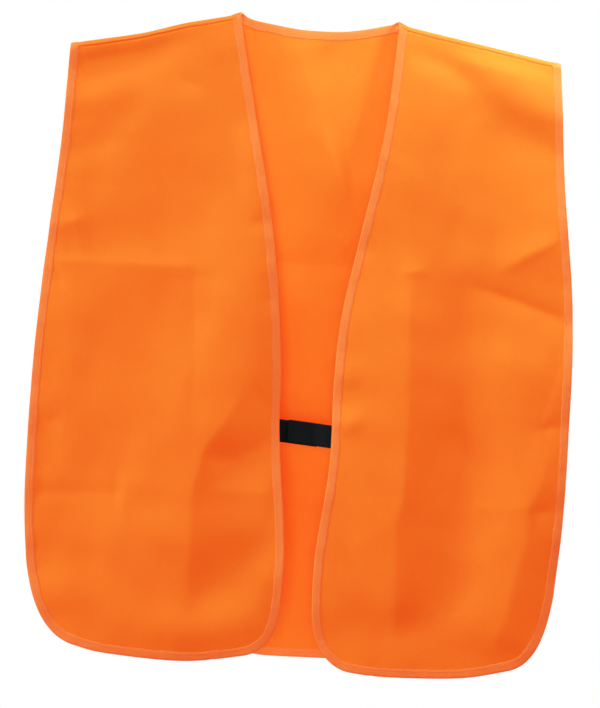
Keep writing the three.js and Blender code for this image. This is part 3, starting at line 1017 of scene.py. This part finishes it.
def boxed_cross(name, node, body, place, edge, near, far):
    """A box of stitches with a cross in it, on the back of a band, between two places from an edge."""
    low, high = -CROSS_HALF, CROSS_HALF
    box = [(near, low), (far, low), (far, high), (near, high), (near, low)]
    line = resample(np.array(box + [(far, high), (far, low), (near, high)], float), STITCH_PITCH)
    middle = (line[1:] + line[:-1]) / 2
    run = np.diff(line, axis=0)
    here = place(middle[:, 0] + edge, middle[:, 1])
    ahead = place(middle[:, 0] + run[:, 0] + edge, middle[:, 1] + run[:, 1])
    here[:, 1] += WEBBING / 2
    ahead[:, 1] += WEBBING / 2
    backwards = np.tile((0, 1.0, 0), (len(here), 1))
    rows = stitches_at(name, here, ahead - here, backwards, black_thread)
    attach(rows, body)
    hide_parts(node)


def peel_blend(obj):
    """Works out a line at the left front's edge, which is not used, and bakes the piece's placing into its
    mesh.
    """
    axis_point = Vector((LEFT_EDGE - 1, 0, STRAP_HEIGHT - STRAP_DROP)) * MM
    start = Vector((axis_point.x, strap_place([LEFT_EDGE - 1], [0.0])[0, 1] * MM, axis_point.z))
    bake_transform(obj)


def webbing_band(name, place, first, last):
    along = np.arange(first, last, BAND_STEP)
    grid = [place(np.full(len(BAND_ACROSS), x), BAND_ACROSS) for x in along]
    return strip(name, grid, WEBBING, webbing)


def closure_band():
    strap = webbing_band("closure_strap_band", strap_place, STRAP_TIP, LEFT_EDGE + ANCHOR)
    peel_blend(strap)
    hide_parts("closure_strap_webbing", "closure_strap_anchor")


def closure_pile():
    """The fuzzy loop side of the fastener, on the back of the strap's tip."""
    across = np.linspace(-STRAP_WIDTH / 2 + 1, STRAP_WIDTH / 2 - 1, 60)
    grid = []
    for x in np.arange(STRAP_TIP + 1, 13, 0.4):
        row = strap_place(np.full(len(across), x), across)
        row[:, 1] += WEBBING / 2 + FASTENER / 2 + 0.02 + rng.uniform(-0.14, 0.14, len(row))
        grid.append(row)
    loops = strip("closure_strap_pile", grid, FASTENER, pile, ribs=0.0)
    peel_blend(loops)
    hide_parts("closure_strap_loop")


def tab_place(x, across):
    """The hook tab's middle surface: sewn behind the right front, then carried straight on."""
    x, across = np.asarray(x, float), np.asarray(across, float)
    v = STRAP_HEIGHT + 0.5 + across + (np.maximum(x, RIGHT_EDGE) - STRAP_TIP) * math.tan(STRAP_SLOPE)
    hidden = behind_front(np.minimum(x, RIGHT_EDGE - 2), v, BEHIND)
    return np.column_stack([x, hidden[:, 1], v * math.cos(TILT)])


def tab_band():
    base = webbing_band("hook_tab_band", tab_place, RIGHT_EDGE - ANCHOR, TAB_TIP)
    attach(base, "right_front")
    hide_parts("hook_tab_webbing")


HOOK_PITCH = 1.5
HOOK_SIDES = 6
HOOK_RISE = [(0.0, 0.42), (0.28, 0.3), (0.5, 0.3), (0.62, 0.5), (0.78, 0.36)]  # (up, radius) to its cap


def tab_hooks():
    """The hook side of the fastener: staggered rows of small capped hooks on the tab's front."""
    points, faces = [], []
    for x in np.arange(RIGHT_EDGE + 3, TAB_TIP - 1, HOOK_PITCH):
        for j, w in enumerate(np.arange(-STRAP_WIDTH / 2 + 1.5, STRAP_WIDTH / 2 - 1, HOOK_PITCH)):
            foot = tab_place([x + HOOK_PITCH / 2 * (j % 2)], [w])[0]
            faces += tube_faces(len(HOOK_RISE), HOOK_SIDES, len(points))
            for up, radius in HOOK_RISE:
                for s in range(HOOK_SIDES):
                    angle = 2 * math.pi * s / HOOK_SIDES
                    around = (radius * math.cos(angle), -WEBBING / 2 - up, radius * math.sin(angle))
                    points.append(foot + around)
    field = make_mesh("hook_tab_hook_field", points, faces, hooks)
    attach(field, "right_front")
    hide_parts("hook_tab_hooks")


# Side straps

SIDE_HEIGHT = -438
SIDE_REACH = 288
SIDE_TAB = 24
SIDE_INNER = SIDE_REACH - SIDE_TAB
SIDE_DROP = CLOTH / 2 + 1.7  # from the middle of the cloth to the middle of the elastic behind it
SIDE_BULGE = 5.0  # how far the loop of elastic stands out


def behind_side(x, height, mirror, sign):
    """Points behind a front (sign -1) or the back (sign 1), at the elastic's depth."""
    a = sign * (shoulder_line(x) - height)
    return placed(x * mirror, a, -SIDE_DROP)


def side_strap(side):
    """A loop of elastic from the inside of a front round to the inside of the back."""
    mirror = MIRROR[side]
    v = SIDE_HEIGHT + BAND_ACROSS
    tab_x = np.linspace(SIDE_INNER, SIDE_REACH - 5, 50)
    front_tab = [behind_side(np.full(len(v), x), v, mirror, -1) for x in tab_x]
    back_tab = [behind_side(np.full(len(v), x), v, mirror, 1) for x in tab_x]
    middle = []
    for t in np.linspace(0, 1, 140)[1:-1]:
        bulge = (1 - abs(2 * t - 1) ** 9) ** 0.5
        ease = smooth(np.array([t]))[0] * 0.25 + t * 0.75
        row = front_tab[-1] * (1 - ease) + back_tab[-1] * ease
        row[:, 0] += mirror * SIDE_BULGE * bulge
        middle.append(row)
    grid = np.array(front_tab + middle + back_tab[::-1])
    if mirror < 0:
        grid = grid[:, ::-1]
    band = strip(f"{side}_side_elastic", grid, WEBBING, elastic, ribs=0.12, rib_pitch=1.6)
    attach(band, "vest_body")
    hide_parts(f"{side}_side_strap")


def side_tack(side, where, sign):
    """A zigzag of thread down one sewn end of a side strap."""
    mirror = MIRROR[side]
    at = np.arange(-10.5, 10.6, 0.7)
    x = SIDE_INNER + 4 + 1.3 * np.where(np.arange(len(at)) % 2, 1, -1)
    a = sign * (shoulder_line(x) - (SIDE_HEIGHT + at))
    here = placed(x * mirror, a, -SIDE_DROP - WEBBING / 2)
    core = placed(x * mirror, a, 0)
    middle_points = (here[1:] + here[:-1]) / 2
    tack = stitches_at(f"{side}_side_{where}_tack_threads", middle_points, np.diff(here, axis=0),
                       (here - core)[1:], thread)
    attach(tack, "vest_body")
    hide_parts(f"{side}_side_strap_{where}_tack")


for side in ("left", "right"):
    seam_fold(side)
    side_strap(side)
    for where, sign in (("front", -1), ("back", 1)):
        side_tack(side, where, sign)
closure_band()
closure_pile()
boxed_cross("closure_strap_stitch_rows", "closure_strap_stitching", "left_front", strap_place,
            LEFT_EDGE, 4, 26)
tab_band()
tab_hooks()
boxed_cross("hook_tab_stitch_rows", "hook_tab_stitching", "right_front", tab_place, RIGHT_EDGE, -27, -4)

# The inside of the back, with its tape and stitches, has a light of its own.
behind = bpy.data.collections.new("inside_of_back")
for name in ("back_cloth", "back_tape", "back_tape_stitches", "neck_tape", "neck_tape_stitches"):
    behind.objects.link(bpy.data.objects[name])
bpy.data.objects["inside"].light_linking.receiver_collection = behind
